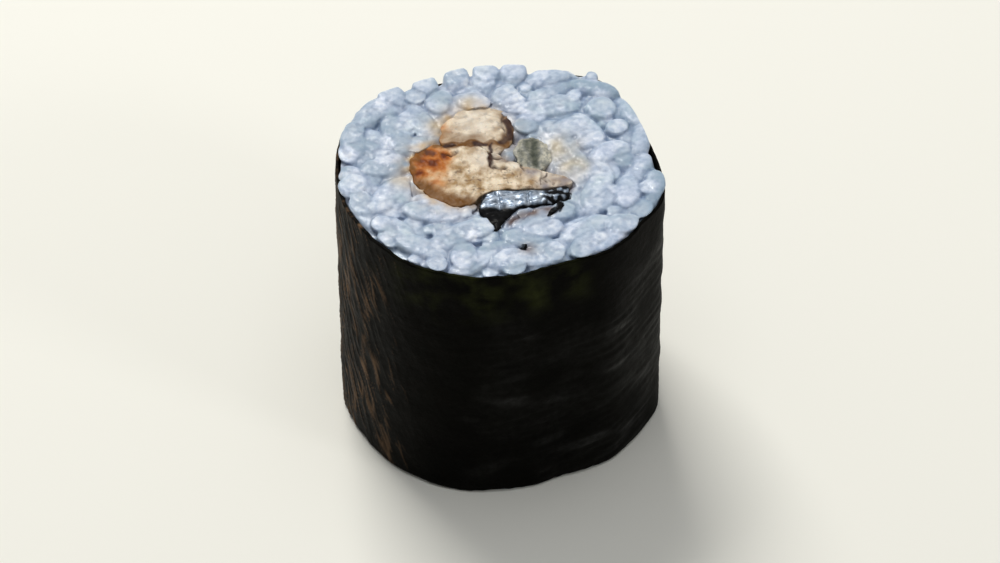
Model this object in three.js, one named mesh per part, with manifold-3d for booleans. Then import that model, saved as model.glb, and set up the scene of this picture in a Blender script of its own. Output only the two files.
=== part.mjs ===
// Grilled eel hosomaki: one piece cut from a thin sushi roll, standing on its cut end.
// A sheet of nori is wrapped once round a bed of rice, which holds strips of grilled eel with their skin.
// Millimetres, +Z up, -Y to the front. The origin is the middle of the foot.

import * as THREE from "three";
import { mergeVertices } from "three/addons/utils/BufferGeometryUtils.js";
import Module from "manifold-3d";

const wasm = await Module();
wasm.setup();

// ---------------------------------------------------------------- driving dimensions

const rollWidth = 31.6; // left to right, over the nori
const rollDepth = 29.0; // front to back, over the nori
const rollHeight = 30.0; // a 180 mm roll cut into six

const noriThickness = 0.3;
const noriFootClear = 0.25; // the nori's lower edge stays just off the table
const noriRimDrop = 0.5; // the knife leaves the rice this much above the nori's upper edge
const noriRimSlant = 0.3; // more of it at the back, less at the front
const noriRelief = 0.12; // grains press through the sheet by this much
const seamStart = 14; // degrees round from +X, where the sheet's inner end lies
const seamOverlap = 32; // degrees that the outer end runs on over the inner one
const seamRamp = 11; // degrees in which the sheet climbs over its inner end

const grainLength = 6.2; // a cooked short grain
const grainWidth = 2.8;
const grainThickness = 2.5;
const rimGrainPitch = 3.1;
const rimNestle = 0.15; // rim grains press this far into the wall of the rice
const fieldPitch = 3.0;
const fieldWander = 0.5; // how far a grain may lie from its place in the staggered field
const grainSpacing = 2.3; // grains of the rule keep this far from those placed singly
const unevenness = 0.08; // share by which grains differ in size
const bedDrop = 0.75; // the solid bed of rice lies this far under each cut face

const noriLapGap = 0.1; // gap between the two layers at the seam
const riceClear = 0.12; // gap between rice and nori
const fillingClear = 0.2; // gap between rice and eel

// Grains that stand out in the upper cut face: place, heading and lean in degrees.
const shownGrains = [
  { x: -13.6, y: 3.8, heading: 110, lean: 30 },
  { x: -12.5, y: 7.9, heading: 42, lean: 20 },
  { x: -10.0, y: 9.6, heading: 95, lean: 60 },
  { x: -6.9, y: 10.9, heading: 75, lean: 62 },
  { x: -3.9, y: 11.9, heading: 90, lean: 65 },
  { x: -0.6, y: 12.4, heading: 8, lean: 45 },
  { x: 2.9, y: 12.8, heading: 25, lean: 50 },
  { x: 7.1, y: 12.4, heading: -3, lean: 0 },
  { x: 12.9, y: 4.4, heading: 82, lean: 15 },
  { x: 14.0, y: -2.4, heading: 72, lean: 20 },
  { x: -3.2, y: -7.7, heading: 12, lean: 25 },
  { x: 0.2, y: -11.6, heading: 60, lean: 50 },
];
const restGrain = { x: 0, y: -9.5, heading: 20, lean: 10 }; // the foot rests on it and on its neighbours

// Where hand and mat left the round roll fuller (+) or flatter (-): degrees from +X, mm, degrees of spread.
const swells = [
  { at: 150, by: 0.95, over: 20 },
  { at: 55, by: 1.9, over: 17 },
  { at: -13, by: 0.75, over: 12 },
  { at: -40, by: 0.4, over: 13 },
  { at: -112, by: 0.7, over: 26 },
  { at: 16, by: -0.5, over: 12 },
  { at: 121, by: -0.5, over: 13 },
  { at: -64, by: -0.4, over: 12 },
];

// The strips of the filling, as closed outlines seen from above. Each runs the whole height of the roll.
const fleshMainOutline = [
  [-8.5, 1.0], [-8.1, -1.1], [-6.9, -2.9], [-5.3, -4.2], [-3.5, -4.6], [-2.2, -3.9], [-1.2, -2.9], [1.7, -2.7],
  [4.6, -2.5], [6.7, -1.9], [6.2, -0.8], [4.0, 0.0], [1.6, 1.0], [-0.6, 2.2], [-2.2, 3.1], [-4.4, 3.0], [-6.4, 3.1],
  [-7.8, 2.5],
];
const fleshUpperOutline = [
  [-5.3, 3.9], [-5.5, 5.6], [-4.8, 7.4], [-3.2, 8.6], [-1.2, 8.9], [0.4, 8.1], [1.1, 6.4], [1.1, 4.4], [0.3, 3.1],
  [-1.2, 3.4], [-2.8, 4.0], [-4.2, 3.8],
];
const skinMainOutline = [
  [-1.9, -4.9], [-0.9, -3.5], [1.8, -3.2], [4.4, -3.1], [6.5, -2.7], [6.3, -3.9], [4.2, -4.6], [2.0, -4.9],
  [0.6, -5.7], [-0.5, -7.3], [-1.3, -6.3],
];
const skinUpperOutline = [
  [1.5, 3.3], [1.5, 2.2], [2.6, 1.4], [3.9, 0.9], [5.2, 1.1], [5.4, 2.4], [4.7, 3.9], [3.3, 4.5], [2.1, 4.3],
];

// ---------------------------------------------------------------- small tools

const radians = THREE.MathUtils.degToRad;
const smoothstep = THREE.MathUtils.smoothstep;

// Park and Miller's generator: the same draws for the same seed.
function draws(seed) {
  let state = seed;
  return () => {
    state = (state * 16807) % 2147483647;
    return state / 2147483647;
  };
}

// Degrees from b to a, from -180 to 180.
function turnBetween(a, b) {
  return ((((a - b) % 360) + 540) % 360) - 180;
}

// A closed mesh as a solid that can be joined and cut.
function solidOf(geometry) {
  const bare = geometry.clone();
  bare.deleteAttribute("normal");
  bare.deleteAttribute("uv");
  const merged = mergeVertices(bare, 1e-4);
  return new wasm.Manifold(
    new wasm.Mesh({
      numProp: 3,
      vertProperties: new Float32Array(merged.attributes.position.array),
      triVerts: new Uint32Array(merged.index.array),
    }),
  );
}

// A solid back as a mesh, without the loose scraps that cutting leaves.
function geometryOf(solid) {
  const bodies = solid.decompose().sort((a, b) => b.volume() - a.volume());
  const mesh = bodies[0].getMesh();
  const geometry = new THREE.BufferGeometry();
  geometry.setAttribute("position", new THREE.BufferAttribute(new Float32Array(mesh.vertProperties), 3));
  geometry.setIndex(new THREE.BufferAttribute(new Uint32Array(mesh.triVerts), 1));
  geometry.computeVertexNormals();
  return geometry;
}

// Points [x, y, z] and triangles as a mesh.
function geometryFrom(points, triangles) {
  const geometry = new THREE.BufferGeometry();
  geometry.setAttribute("position", new THREE.BufferAttribute(new Float32Array(points.flat()), 3));
  geometry.setIndex(triangles.flat());
  geometry.computeVertexNormals();
  return geometry;
}

// A closed outline extruded upright.
function prism(outline, bottom, top) {
  const shape = new THREE.Shape(outline.map(([x, y]) => new THREE.Vector2(x, y)));
  return new THREE.ExtrudeGeometry(shape, { depth: top - bottom, bevelEnabled: false }).translate(0, 0, bottom);
}

// A smooth closed outline through a few points, anticlockwise.
function smoothOutline(corners, count) {
  const curve = new THREE.CatmullRomCurve3(corners.map(([x, y]) => new THREE.Vector3(x, y, 0)), true);
  const points = curve.getSpacedPoints(count).slice(0, count);
  if (THREE.ShapeUtils.area(points) < 0) points.reverse();
  return points.map((p) => [p.x, p.y]);
}

// The same outline moved outwards by a gap. It runs anticlockwise.
function grown(outline, gap) {
  const count = outline.length;
  return outline.map(([x, y], i) => {
    const before = outline[(i + count - 1) % count];
    const after = outline[(i + 1) % count];
    const along = new THREE.Vector2(after[0] - before[0], after[1] - before[1]).normalize();
    return [x + along.y * gap, y - along.x * gap];
  });
}

function inside(x, y, outline) {
  return outline.reduce((odd, [ax, ay], i) => {
    const [bx, by] = outline[(i + 1) % outline.length];
    const crosses = ay > y !== by > y && x < ((bx - ax) * (y - ay)) / (by - ay) + ax;
    return crosses ? !odd : odd;
  }, false);
}

// ---------------------------------------------------------------- the roll's outline

// Radius of the hand-pressed round, before it is fitted to the width and depth.
function pressedRadius(angle) {
  const t = radians(angle);
  const round = 1 / Math.hypot(Math.cos(t) / (rollWidth / 2), Math.sin(t) / (rollDepth / 2));
  const pressed = swells.map(({ at, by, over }) => by * Math.exp(-((turnBetween(angle, at) / over) ** 2)));
  return pressed.reduce((sum, swell) => sum + swell, round);
}

const outlineBox = new THREE.Box2().setFromPoints(
  Array.from({ length: 720 }, (_, i) => {
    const angle = i / 2;
    return new THREE.Vector2(Math.cos(radians(angle)), Math.sin(radians(angle))).multiplyScalar(pressedRadius(angle));
  }),
);

// A point on the nori's outer face, moved inwards by an inset. It fills rollWidth by rollDepth exactly.
function outlinePoint(angle, inset = 0) {
  const t = radians(angle);
  const r = pressedRadius(angle) - inset;
  const centre = outlineBox.getCenter(new THREE.Vector2());
  const size = outlineBox.getSize(new THREE.Vector2());
  return [
    ((r * Math.cos(t) - centre.x) * rollWidth) / size.x,
    ((r * Math.sin(t) - centre.y) * rollDepth) / size.y,
  ];
}

function outline(inset, count) {
  return Array.from({ length: count }, (_, i) => outlinePoint((360 * i) / count, inset));
}

// ---------------------------------------------------------------- nori

// How far the grains behind the sheet push it in, from 0 to noriRelief.
function noriDent(angle, height) {
  const t = radians(angle);
  const waves =
    Math.sin(13 * t + 0.9 * height) + Math.sin(21 * t - 1.3 * height + 2) + Math.sin(5 * t + 1.1 * height + 4);
  return (noriRelief * (waves + 3)) / 6;
}

function noriTop(angle) {
  const t = radians(angle);
  return rollHeight - noriRimDrop - noriRimSlant * Math.sin(t) + 0.08 * Math.sin(9 * t) + 0.06 * Math.sin(23 * t);
}

function noriFoot(angle) {
  return noriFootClear + 0.06 * (1 + Math.sin(11 * radians(angle)));
}

// One sheet wound once round, its outer end lapped over its inner one.
function nori() {
  const across = 84; // steps round
  const up = 6; // steps from foot to rim
  const lift = noriThickness + noriLapGap; // what the sheet climbs at the seam
  const points = [];
  const index = (i, j, layer) => (i * (up + 1) + j) * 2 + layer;
  for (let i = 0; i <= across; i += 1) {
    const angle = seamStart + ((360 + seamOverlap) * i) / across;
    const climbed = lift * smoothstep(angle, seamStart + 360 - seamRamp, seamStart + 360);
    for (let j = 0; j <= up; j += 1) {
      const share = j / up;
      const height = noriFoot(angle) * (1 - share) + noriTop(angle) * share;
      const dent = noriDent(angle % 360, height) - climbed;
      const [ox, oy] = outlinePoint(angle, dent);
      const [ix, iy] = outlinePoint(angle, dent + noriThickness);
      points.push([ox, oy, height], [ix, iy, height]);
    }
  }
  const triangles = [];
  const quad = (a, b, c, d) => triangles.push([a, b, c], [a, c, d]);
  for (let i = 0; i < across; i += 1) {
    for (let j = 0; j < up; j += 1) {
      quad(index(i, j, 0), index(i + 1, j, 0), index(i + 1, j + 1, 0), index(i, j + 1, 0));
      quad(index(i, j, 1), index(i, j + 1, 1), index(i + 1, j + 1, 1), index(i + 1, j, 1));
    }
    quad(index(i, 0, 0), index(i, 0, 1), index(i + 1, 0, 1), index(i + 1, 0, 0));
    quad(index(i, up, 0), index(i + 1, up, 0), index(i + 1, up, 1), index(i, up, 1));
  }
  for (let j = 0; j < up; j += 1) {
    quad(index(0, j, 0), index(0, j + 1, 0), index(0, j + 1, 1), index(0, j, 1));
    quad(index(across, j, 0), index(across, j, 1), index(across, j + 1, 1), index(across, j + 1, 0));
  }
  return geometryFrom(points, triangles);
}

// ---------------------------------------------------------------- filling

const fleshMain = smoothOutline(fleshMainOutline, 40);
const fleshUpper = smoothOutline(fleshUpperOutline, 30);
const skinMain = smoothOutline(skinMainOutline, 32);
const skinUpper = smoothOutline(skinUpperOutline, 22);
const filling = [fleshMain, fleshUpper, skinMain, skinUpper];

// A strip that runs through the roll. Its cut ends dome a little and show the ridges of its flakes.
function strip(edge, { proud, dome, ridge, ridgePitch, ridgeHeading }) {
  const rings = 3; // cap rings between the edge and the middle
  const shrink = 0.74; // how far the last ring has drawn in
  const [cx, cy] = edge.reduce(([sx, sy], [x, y]) => [sx + x / edge.length, sy + y / edge.length], [0, 0]);
  const heading = radians(ridgeHeading);
  const relief = (x, y, share) => {
    const along = (x * Math.cos(heading) + y * Math.sin(heading)) / ridgePitch;
    const ridges = Math.abs(((along % 1) + 1.5) % 1 - 0.5) * 2;
    return dome * Math.sqrt(share) + ridge * ridges * Math.min(1, share * 3);
  };
  const points = [];
  const levels = [];
  const addRing = (draw, heightAt) => {
    levels.push(points.length);
    edge.forEach(([x, y]) => {
      const px = x + (cx - x) * draw;
      const py = y + (cy - y) * draw;
      points.push([px, py, heightAt(px, py)]);
    });
  };
  const foot = 0.3; // the lower end is clear of the table
  for (let k = rings; k >= 0; k -= 1) {
    const share = k / rings;
    addRing(share * shrink, () => foot + 0.15 * (1 - share));
  }
  for (let k = 0; k <= rings; k += 1) {
    const share = k / rings;
    addRing(share * shrink, (x, y) => rollHeight + proud - dome + relief(x, y, share));
  }
  const count = edge.length;
  const triangles = [];
  for (let level = 0; level + 1 < levels.length; level += 1) {
    for (let i = 0; i < count; i += 1) {
      const next = (i + 1) % count;
      const [low, high] = [levels[level], levels[level + 1]];
      triangles.push([low + i, low + next, high + next], [low + i, high + next, high + i]);
    }
  }
  const closing = (start, flip) => {
    const ring = points.slice(start, start + count).map(([x, y]) => new THREE.Vector2(x, y));
    THREE.ShapeUtils.triangulateShape(ring, []).forEach(([a, b, c]) => {
      triangles.push(flip ? [start + a, start + c, start + b] : [start + a, start + b, start + c]);
    });
  };
  closing(levels[0], true);
  closing(levels[levels.length - 1], false);
  return geometryFrom(points, triangles);
}

// ---------------------------------------------------------------- rice

const riceInset = noriThickness + noriRelief + riceClear;

// The grains that show on one cut face: those placed singly, a row round the rim, then a staggered field inside it.
function faceGrains(seed, singled) {
  const draw = draws(seed);
  const spread = (by) => (2 * draw() - 1) * by;
  const grains = [];
  const place = (x, y, heading, lean) => {
    const scale = 1 + spread(unevenness);
    const bite = 0.1 + 0.3 * draw(); // what the knife has taken off the grain
    const dip = 0.3 * draw() ** 2; // how far its cut end lies under the highest
    grains.push({ x, y, heading, lean, scale, bite, dip });
  };
  const placeByRule = (x, y, heading) => {
    const lean = 0.75 * Math.asin(draw()); // most lie flat, few stand upright
    const isClear = singled.every((other) => Math.hypot(x - other.x, y - other.y) > grainSpacing);
    if (isClear) place(x, y, heading, lean);
  };
  singled.forEach(({ x, y, heading, lean }) => place(x, y, radians(heading), radians(lean)));

  const rimInset = riceInset + grainWidth / 2 - rimNestle;
  const rimLength = (Math.PI * (rollWidth + rollDepth - 4 * rimInset)) / 2;
  const rimCount = Math.round(rimLength / rimGrainPitch);
  for (let i = 0; i < rimCount; i += 1) {
    const angle = (360 * (i + spread(0.2))) / rimCount;
    const [x, y] = outlinePoint(angle, rimInset + 0.2 * draw());
    placeByRule(x, y, radians(angle + 90 + spread(50)));
  }

  const field = outline(rimInset + 0.6 * grainWidth, 60);
  const rowPitch = fieldPitch * Math.sin(radians(60));
  const rows = Math.ceil(rollDepth / rowPitch / 2);
  const columns = Math.ceil(rollWidth / fieldPitch / 2);
  for (let row = -rows; row <= rows; row += 1) {
    for (let column = -columns; column <= columns; column += 1) {
      const x = (column + (row % 2 ? 0.5 : 0)) * fieldPitch + spread(fieldWander);
      const y = row * rowPitch + spread(fieldWander);
      const heading = radians(spread(180));
      const isRice = inside(x, y, field) && !filling.some((edge) => inside(x, y, edge));
      if (isRice) placeByRule(x, y, heading);
    }
  }
  return grains;
}

// A grain that ends at a cut face: the knife has bitten into it. up is 1 at the top, -1 at the foot.
// The foot's grains have been pressed level by standing, so they all reach it.
function cutGrain({ x, y, heading, lean, scale, bite, dip }, up) {
  const halfLength = (grainLength / 2) * scale;
  const halfThickness = (grainThickness / 2) * scale;
  const reach = Math.hypot(halfLength * Math.sin(lean), halfThickness * Math.cos(lean));
  const face = up > 0 ? rollHeight - dip : 0;
  const depth = Math.min(reach, grainWidth / 2) - bite;
  const grain = new THREE.SphereGeometry(1, 7, 4)
    .scale((grainWidth / 2) * scale, halfLength, halfThickness)
    .rotateX(up * lean)
    .rotateZ(heading - Math.PI / 2)
    .translate(x, y, face - up * depth);
  const block = 4 * grainLength;
  const knife = new THREE.BoxGeometry(block, block, block).translate(x, y, face - (up * block) / 2);
  return solidOf(grain).intersect(solidOf(knife));
}

function rice() {
  const edge = outline(riceInset, 72);
  const bed = solidOf(prism(edge, bedDrop, rollHeight - bedDrop));
  const envelope = solidOf(prism(edge, 0, rollHeight));
  const grains = [
    ...faceGrains(2027, shownGrains).map((grain) => cutGrain(grain, 1)),
    ...faceGrains(911, [restGrain]).map((grain) => cutGrain(grain, -1)),
  ];
  const joined = grains.reduce((whole, grain) => whole.add(grain), bed);
  const pocket = filling
    .map((strand) => solidOf(prism(grown(strand, fillingClear), -1, rollHeight + 1)))
    .reduce((whole, hole) => whole.add(hole));
  // The rice stands back from the thick end of the lower skin and leaves a dark hollow.
  const gapBySkin = new THREE.SphereGeometry(1, 10, 6).scale(1.5, 1.3, 2.4).translate(-0.3, -7.4, rollHeight);
  return geometryOf(joined.intersect(envelope).subtract(pocket).subtract(solidOf(gapBySkin)));
}

// ---------------------------------------------------------------- materials and assembly

const noriGreenBlack = new THREE.MeshStandardMaterial({ color: "#14160f", roughness: 0.45, metalness: 0 });
const riceWhite = new THREE.MeshStandardMaterial({ color: "#ccd6e2", roughness: 0.4, metalness: 0 });
const eelFlesh = new THREE.MeshStandardMaterial({ color: "#c9ad8f", roughness: 0.5, metalness: 0 });
const eelSkin = new THREE.MeshStandardMaterial({ color: "#4b5157", roughness: 0.25, metalness: 0 });

function piece(name, geometry, material) {
  const mesh = new THREE.Mesh(geometry, material);
  mesh.name = name;
  return mesh;
}

const fleshFinish = { proud: 0.25, dome: 0.3, ridge: 0.22, ridgePitch: 1.5, ridgeHeading: 20 };
const skinFinish = { proud: 0.1, dome: 0.15, ridge: 0, ridgePitch: 1, ridgeHeading: 0 };

const hosomaki = new THREE.Group();
hosomaki.add(
  piece("nori", nori(), noriGreenBlack),
  piece("rice", rice(), riceWhite),
  piece("eel_flesh_main", strip(fleshMain, fleshFinish), eelFlesh),
  piece("eel_flesh_upper", strip(fleshUpper, { ...fleshFinish, ridgeHeading: 70 }), eelFlesh),
  piece("eel_skin_main", strip(skinMain, skinFinish), eelSkin),
  piece("eel_skin_upper", strip(skinUpper, skinFinish), eelSkin),
);

export default hosomaki;
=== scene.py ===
"""Grilled eel hosomaki: one piece cut from a thin sushi roll, standing on its cut end.

Shapes are made in millimetres, +Z up and -Y to the front, and turned to metres at the end of each piece.
The studio round it is set up in metres.
"""

import math

import bmesh
import bpy
import numpy as np
from mathutils import Matrix, Vector, kdtree


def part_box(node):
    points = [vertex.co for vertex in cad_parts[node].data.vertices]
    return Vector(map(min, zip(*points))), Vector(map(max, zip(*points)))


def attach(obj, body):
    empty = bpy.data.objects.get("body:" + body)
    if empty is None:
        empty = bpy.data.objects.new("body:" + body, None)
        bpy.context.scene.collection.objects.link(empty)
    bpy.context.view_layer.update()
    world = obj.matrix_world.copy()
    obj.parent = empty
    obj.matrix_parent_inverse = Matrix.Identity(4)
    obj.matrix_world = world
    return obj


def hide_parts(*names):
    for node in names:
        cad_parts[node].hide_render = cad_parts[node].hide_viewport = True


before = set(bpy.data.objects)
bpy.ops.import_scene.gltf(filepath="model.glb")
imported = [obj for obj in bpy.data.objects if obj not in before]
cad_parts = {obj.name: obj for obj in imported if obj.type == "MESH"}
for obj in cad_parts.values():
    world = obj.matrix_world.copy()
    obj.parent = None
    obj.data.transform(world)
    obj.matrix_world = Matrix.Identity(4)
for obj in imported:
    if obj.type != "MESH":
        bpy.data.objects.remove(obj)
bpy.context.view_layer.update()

MM = 0.001

# ---------------------------------------------------------------- sizes, in mm, from the frame


def size_of(node):
    """Width, depth and height of a solid of the frame, in mm."""
    low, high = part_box(node)
    return [(high[axis] - low[axis]) / MM for axis in range(3)]


ROLL_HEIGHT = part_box("rice")[1].z / MM
NORI_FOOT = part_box("nori")[0].z / MM
NORI_COVER = (size_of("nori")[0] - size_of("rice")[0]) / 2  # from the rice's wall to the nori's outer face

NORI_THICKNESS = 0.28
NORI_RIM_DROP = 0.5  # the knife leaves the rice this much above the nori's rim
NORI_RIM_SLANT = 0.3  # more of it at the back, less at the front
NORI_BACK_DROP = 0.25  # round the back the rim steps down by this much more
NORI_INSET = 0.12  # the sheet lies this much inside its solid's face, which leaves room for its relief
NORI_RADIUS = 15.2  # about the sheet's mean radius, for patterns that run round it
NORI_GRID = (560, 124)  # faces round the sheet and from its foot to its rim
SEAM_START = 14  # degrees round from +X, where the sheet's inner end lies
SEAM_OVERLAP = 32  # degrees that the outer end runs on over the inner one
SEAM_RAMP = 11  # degrees in which the sheet climbs over its inner end
LAP_PRESSED = 0.06  # the lap is pressed together by this much
LAP_CLINGS = 0.16  # and its wet outer end clings this much closer to the sheet under it

GRAIN = np.array([2.8, 6.2, 2.5])  # a cooked short grain: width, length, thickness
WALL_PRESSED = 0.5  # grains are pressed flat by this much against the sheet and the filling
BED_FOOT = 1.2  # the solid bed under the grains starts this high
BED_DROP = 0.8  # and ends this far under the cut face
BETWEEN_SUNK = 0.3  # rice between two strips of eel lies this much lower
HEAP_REACH = 0.65  # rice is heaped up against the eel over about this width
HEAP_DROP = 0.24  # up to this far under the roll's height

EEL_FOOT = 0.3  # the strips of eel end this far over the roll's foot
FLESH_TOP = ROLL_HEIGHT - 0.16  # soft flesh sinks a little under the cut
SKIN_TOP = ROLL_HEIGHT + 0.05  # tough skin stands a little over it

# How finely the rice and the eel are meshed, and which shares of their faces are kept.
RICE_VOXEL = 0.12
EEL_VOXEL = 0.1
RICE_KEPT = 0.62  # at the rice's upper end
RICE_FOOT_KEPT = 0.25
UNSEEN_KEPT = 0.02  # inside the roll, where nobody looks
UNSEEN_FROM = 1.6  # which starts this high, and ends this far under the top of the rice and of the eel
UNSEEN_UNDER_RICE = 2.6
UNSEEN_UNDER_EEL = 2.2
LINING_KEPT = 0.03  # of the sheet's inner face

# Grains that stand out in the upper cut face: x, y, heading and lean in degrees, how glassy from 0 to 1.
SHOWN_GRAINS = [
    (-13.9, 3.0, 100, 15, 0.6),
    (-12.9, 7.4, 55, 12, 0.5),
    (-9.9, 9.6, 125, 35, 0.3),
    (-6.9, 11.0, 115, 42, 0.2),
    (-4.1, 12.1, 100, 38, 0.5),
    (-1.3, 12.7, 95, 48, 0.3),
    (1.1, 12.8, 80, 42, 0.2),
    (4.2, 12.9, 12, 6, 0.4),
    (9.0, 11.6, -18, 0, 1.0),
    (12.2, 8.7, -62, 12, 0.3),
    (13.4, 4.0, 80, 6, 0.3),
    (14.6, -2.4, 78, 8, 0.95),
    (-3.2, -7.9, 12, 18, 0.25),
    (0.2, -12.0, 15, 25, 0.1),
]

# Where fat has run onto the rice: x, y, reach. The sauce that has run out is a line and a spot.
FAT_SPOTS = [(5.6, 2.8, 2.1), (6.9, 0.7, 1.6), (-3.0, 9.2, 1.0), (-6.2, 6.2, 0.9), (-9.6, -1.4, 0.9)]
SAUCE_LINE = [(0.9, -6.6), (1.8, -6.1), (3.0, -5.6), (4.8, -5.2)]
SAUCE_SPOTS = [(2.6, -10.5, 0.8)]
SAUCE_REACH = 0.6
GLAZE_REACH = 0.8  # glaze has soaked into the rice over about this width round the flesh
CREASE_DEPTH = 0.12  # a hollow between grains that is this deep gets the full painted crease shade

# ---------------------------------------------------------------- small tools


def smoothstep(value, low, high):
    """0 up to low and 1 from high on, or the other way round where high is the smaller one."""
    share = np.clip((np.asarray(value, float) - low) / (high - low), 0, 1)
    return share * share * (3 - 2 * share)


def waves(points, pitch, seed, count=14):
    """A smooth random field at the points, about pitch mm from crest to crest, mostly within -1 to 1."""
    dice = np.random.default_rng(seed)
    points = np.asarray(points, float)
    turns = dice.normal(size=(count, points.shape[1]))
    turns /= np.linalg.norm(turns, axis=1, keepdims=True)
    turns *= 2 * math.pi / pitch * dice.uniform(0.7, 1.4, (count, 1))
    phases = dice.uniform(0, 2 * math.pi, count)
    return np.sin(points @ turns.T + phases).sum(axis=1) / math.sqrt(2 * count)


def near(points, spots):
    """How close the points lie to any of the spots (x, y, reach), from 0 to 1."""
    share = np.zeros(len(points))
    for x, y, reach in spots:
        away = np.hypot(points[:, 0] - x, points[:, 1] - y)
        share = np.maximum(share, np.exp(-((away / reach) ** 2)))
    return share


def line_gap(points, line):
    """Distance from each point to a line through the given places."""
    line = np.array(line, float)
    gap = np.full(len(points), np.inf)
    for start, end in zip(line, line[1:]):
        along = end - start
        share = np.clip(((points - start) @ along) / (along @ along), 0, 1)
        gap = np.minimum(gap, np.linalg.norm(points - start - share[:, None] * along, axis=1))
    return gap


def unit_ball():
    """Points and three-cornered faces of a ball of radius 1."""
    ball = bmesh.new()
    bmesh.ops.create_icosphere(ball, subdivisions=3, radius=1)
    points = np.array([v.co for v in ball.verts])
    faces = np.array([[v.index for v in f.verts] for f in ball.faces])
    ball.free()
    return points, faces


def between_rings(count, rings):
    """Four-cornered faces that join rings of count points, each ring to the next."""
    here = np.arange(count)
    after = (here + 1) % count
    starts = np.arange(rings - 1) * count
    sides = [[here + a, after + a, after + a + count, here + a + count] for a in starts]
    return np.vstack([np.column_stack(side) for side in sides])


def mesh_piece(name, points, faces):
    """A new mesh object, from arrays of points and faces with equally many corners."""
    mesh = bpy.data.meshes.new(name)
    mesh.from_pydata(np.asarray(points, float).tolist(), [], np.asarray(faces, int).tolist())
    piece = bpy.data.objects.new(name, mesh)
    bpy.context.scene.collection.objects.link(piece)
    return piece


def points_of(piece):
    points = np.empty(len(piece.data.vertices) * 3)
    piece.data.vertices.foreach_get("co", points)
    return points.reshape(-1, 3)


def move_points(piece, points):
    piece.data.vertices.foreach_set("co", np.asarray(points, float).ravel())
    piece.data.update()


def with_modifier(piece, kind, **settings):
    """Adds one modifier and applies it."""
    modifier = piece.modifiers.new(kind, kind)
    for name, value in settings.items():
        setattr(modifier, name, value)
    made = bpy.data.meshes.new_from_object(piece.evaluated_get(bpy.context.evaluated_depsgraph_get()))
    piece.modifiers.clear()
    piece.data = made


def thinned(piece, chosen, keep):
    """Keeps only a share of the faces at the chosen points."""
    group = piece.vertex_groups.new(name="chosen")
    group.add(np.flatnonzero(chosen).tolist(), 1.0, "REPLACE")
    ratio = 1 - float(np.mean(chosen)) * (1 - keep)
    with_modifier(piece, "DECIMATE", ratio=ratio, vertex_group="chosen", use_collapse_triangulate=True)
    piece.vertex_groups.clear()


def blurred(piece, values, rounds):
    """Rows of values at the points, averaged over their neighbours again and again."""
    ends = np.empty(len(piece.data.edges) * 2, int)
    piece.data.edges.foreach_get("vertices", ends)
    a, b = ends.reshape(-1, 2).T
    count = len(values)
    beside = np.maximum(np.bincount(ends, minlength=count), 1)
    for _ in range(rounds):
        sums = [np.bincount(a, column[b], count) + np.bincount(b, column[a], count) for column in values.T]
        values = np.column_stack(sums) / beside[:, None]
    return values


def hollows(piece, rounds):
    """How deep each point lies under the surface round it, in mm: above 0 in a crease, below 0 on a bump."""
    points = points_of(piece)
    normals = np.empty(len(points) * 3)
    piece.data.vertex_normals.foreach_get("vector", normals)
    return ((blurred(piece, points, rounds) - points) * normals.reshape(-1, 3)).sum(axis=1)


def paint(piece, name, values):
    """Stores one number for each point, which the material reads."""
    layer = piece.data.attributes.new(name, "FLOAT", "POINT")
    layer.data.foreach_set("value", np.asarray(values, np.float32))


def finished(piece, material, node):
    """Turns a piece to metres, smooths its shading and puts it in its CAD node's place."""
    piece.data.transform(Matrix.Scale(MM, 4))
    piece.data.polygons.foreach_set("use_smooth", [True] * len(piece.data.polygons))
    piece.data.materials.clear()
    piece.data.materials.append(material)
    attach(piece, "root")
    if node:
        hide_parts(node)
    return piece


# ---------------------------------------------------------------- outlines from the frame


def section(node, height):
    """The largest closed outline of a solid of the frame at a height: points in mm, anticlockwise."""
    cut = bmesh.new()
    cut.from_mesh(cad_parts[node].data)
    bmesh.ops.remove_doubles(cut, verts=cut.verts, dist=1e-7)
    everything = [*cut.verts, *cut.edges, *cut.faces]
    level = (0, 0, height * MM)
    found = bmesh.ops.bisect_plane(cut, geom=everything, dist=1e-8, plane_co=level, plane_no=(0, 0, 1))
    edges = {e for e in found["geom_cut"] if isinstance(e, bmesh.types.BMEdge)}
    outlines = []
    while edges:
        edge = edges.pop()
        start, here = edge.verts
        outline = [start.co.xy, here.co.xy]
        while here != start:
            edge = next(e for e in here.link_edges if e in edges)
            edges.remove(edge)
            here = edge.other_vert(here)
            outline.append(here.co.xy)
        outlines.append(np.array(outline[:-1]) / MM)
    cut.free()
    largest = max(outlines, key=lambda outline: abs(area(outline)))
    return largest if area(largest) > 0 else largest[::-1]


def area(outline):
    after = np.roll(outline, -1, axis=0)
    return float((outline[:, 0] * after[:, 1] - after[:, 0] * outline[:, 1]).sum() / 2)


def evened(outline, count, waves_kept):
    """The outline again with evenly spaced points and its corners rounded, by keeping its slow waves only."""
    closed = np.vstack([outline, outline[:1]])
    run = np.concatenate([[0], np.cumsum(np.linalg.norm(np.diff(closed, axis=0), axis=1))])
    stations = np.linspace(0, run[-1], count, endpoint=False)
    x, y = (np.interp(stations, run, closed[:, axis]) for axis in range(2))
    spectrum = np.fft.fft(x + 1j * y)
    spectrum[waves_kept : count - waves_kept + 1] = 0
    smooth = np.fft.ifft(spectrum)
    return np.column_stack([smooth.real, smooth.imag])


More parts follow.
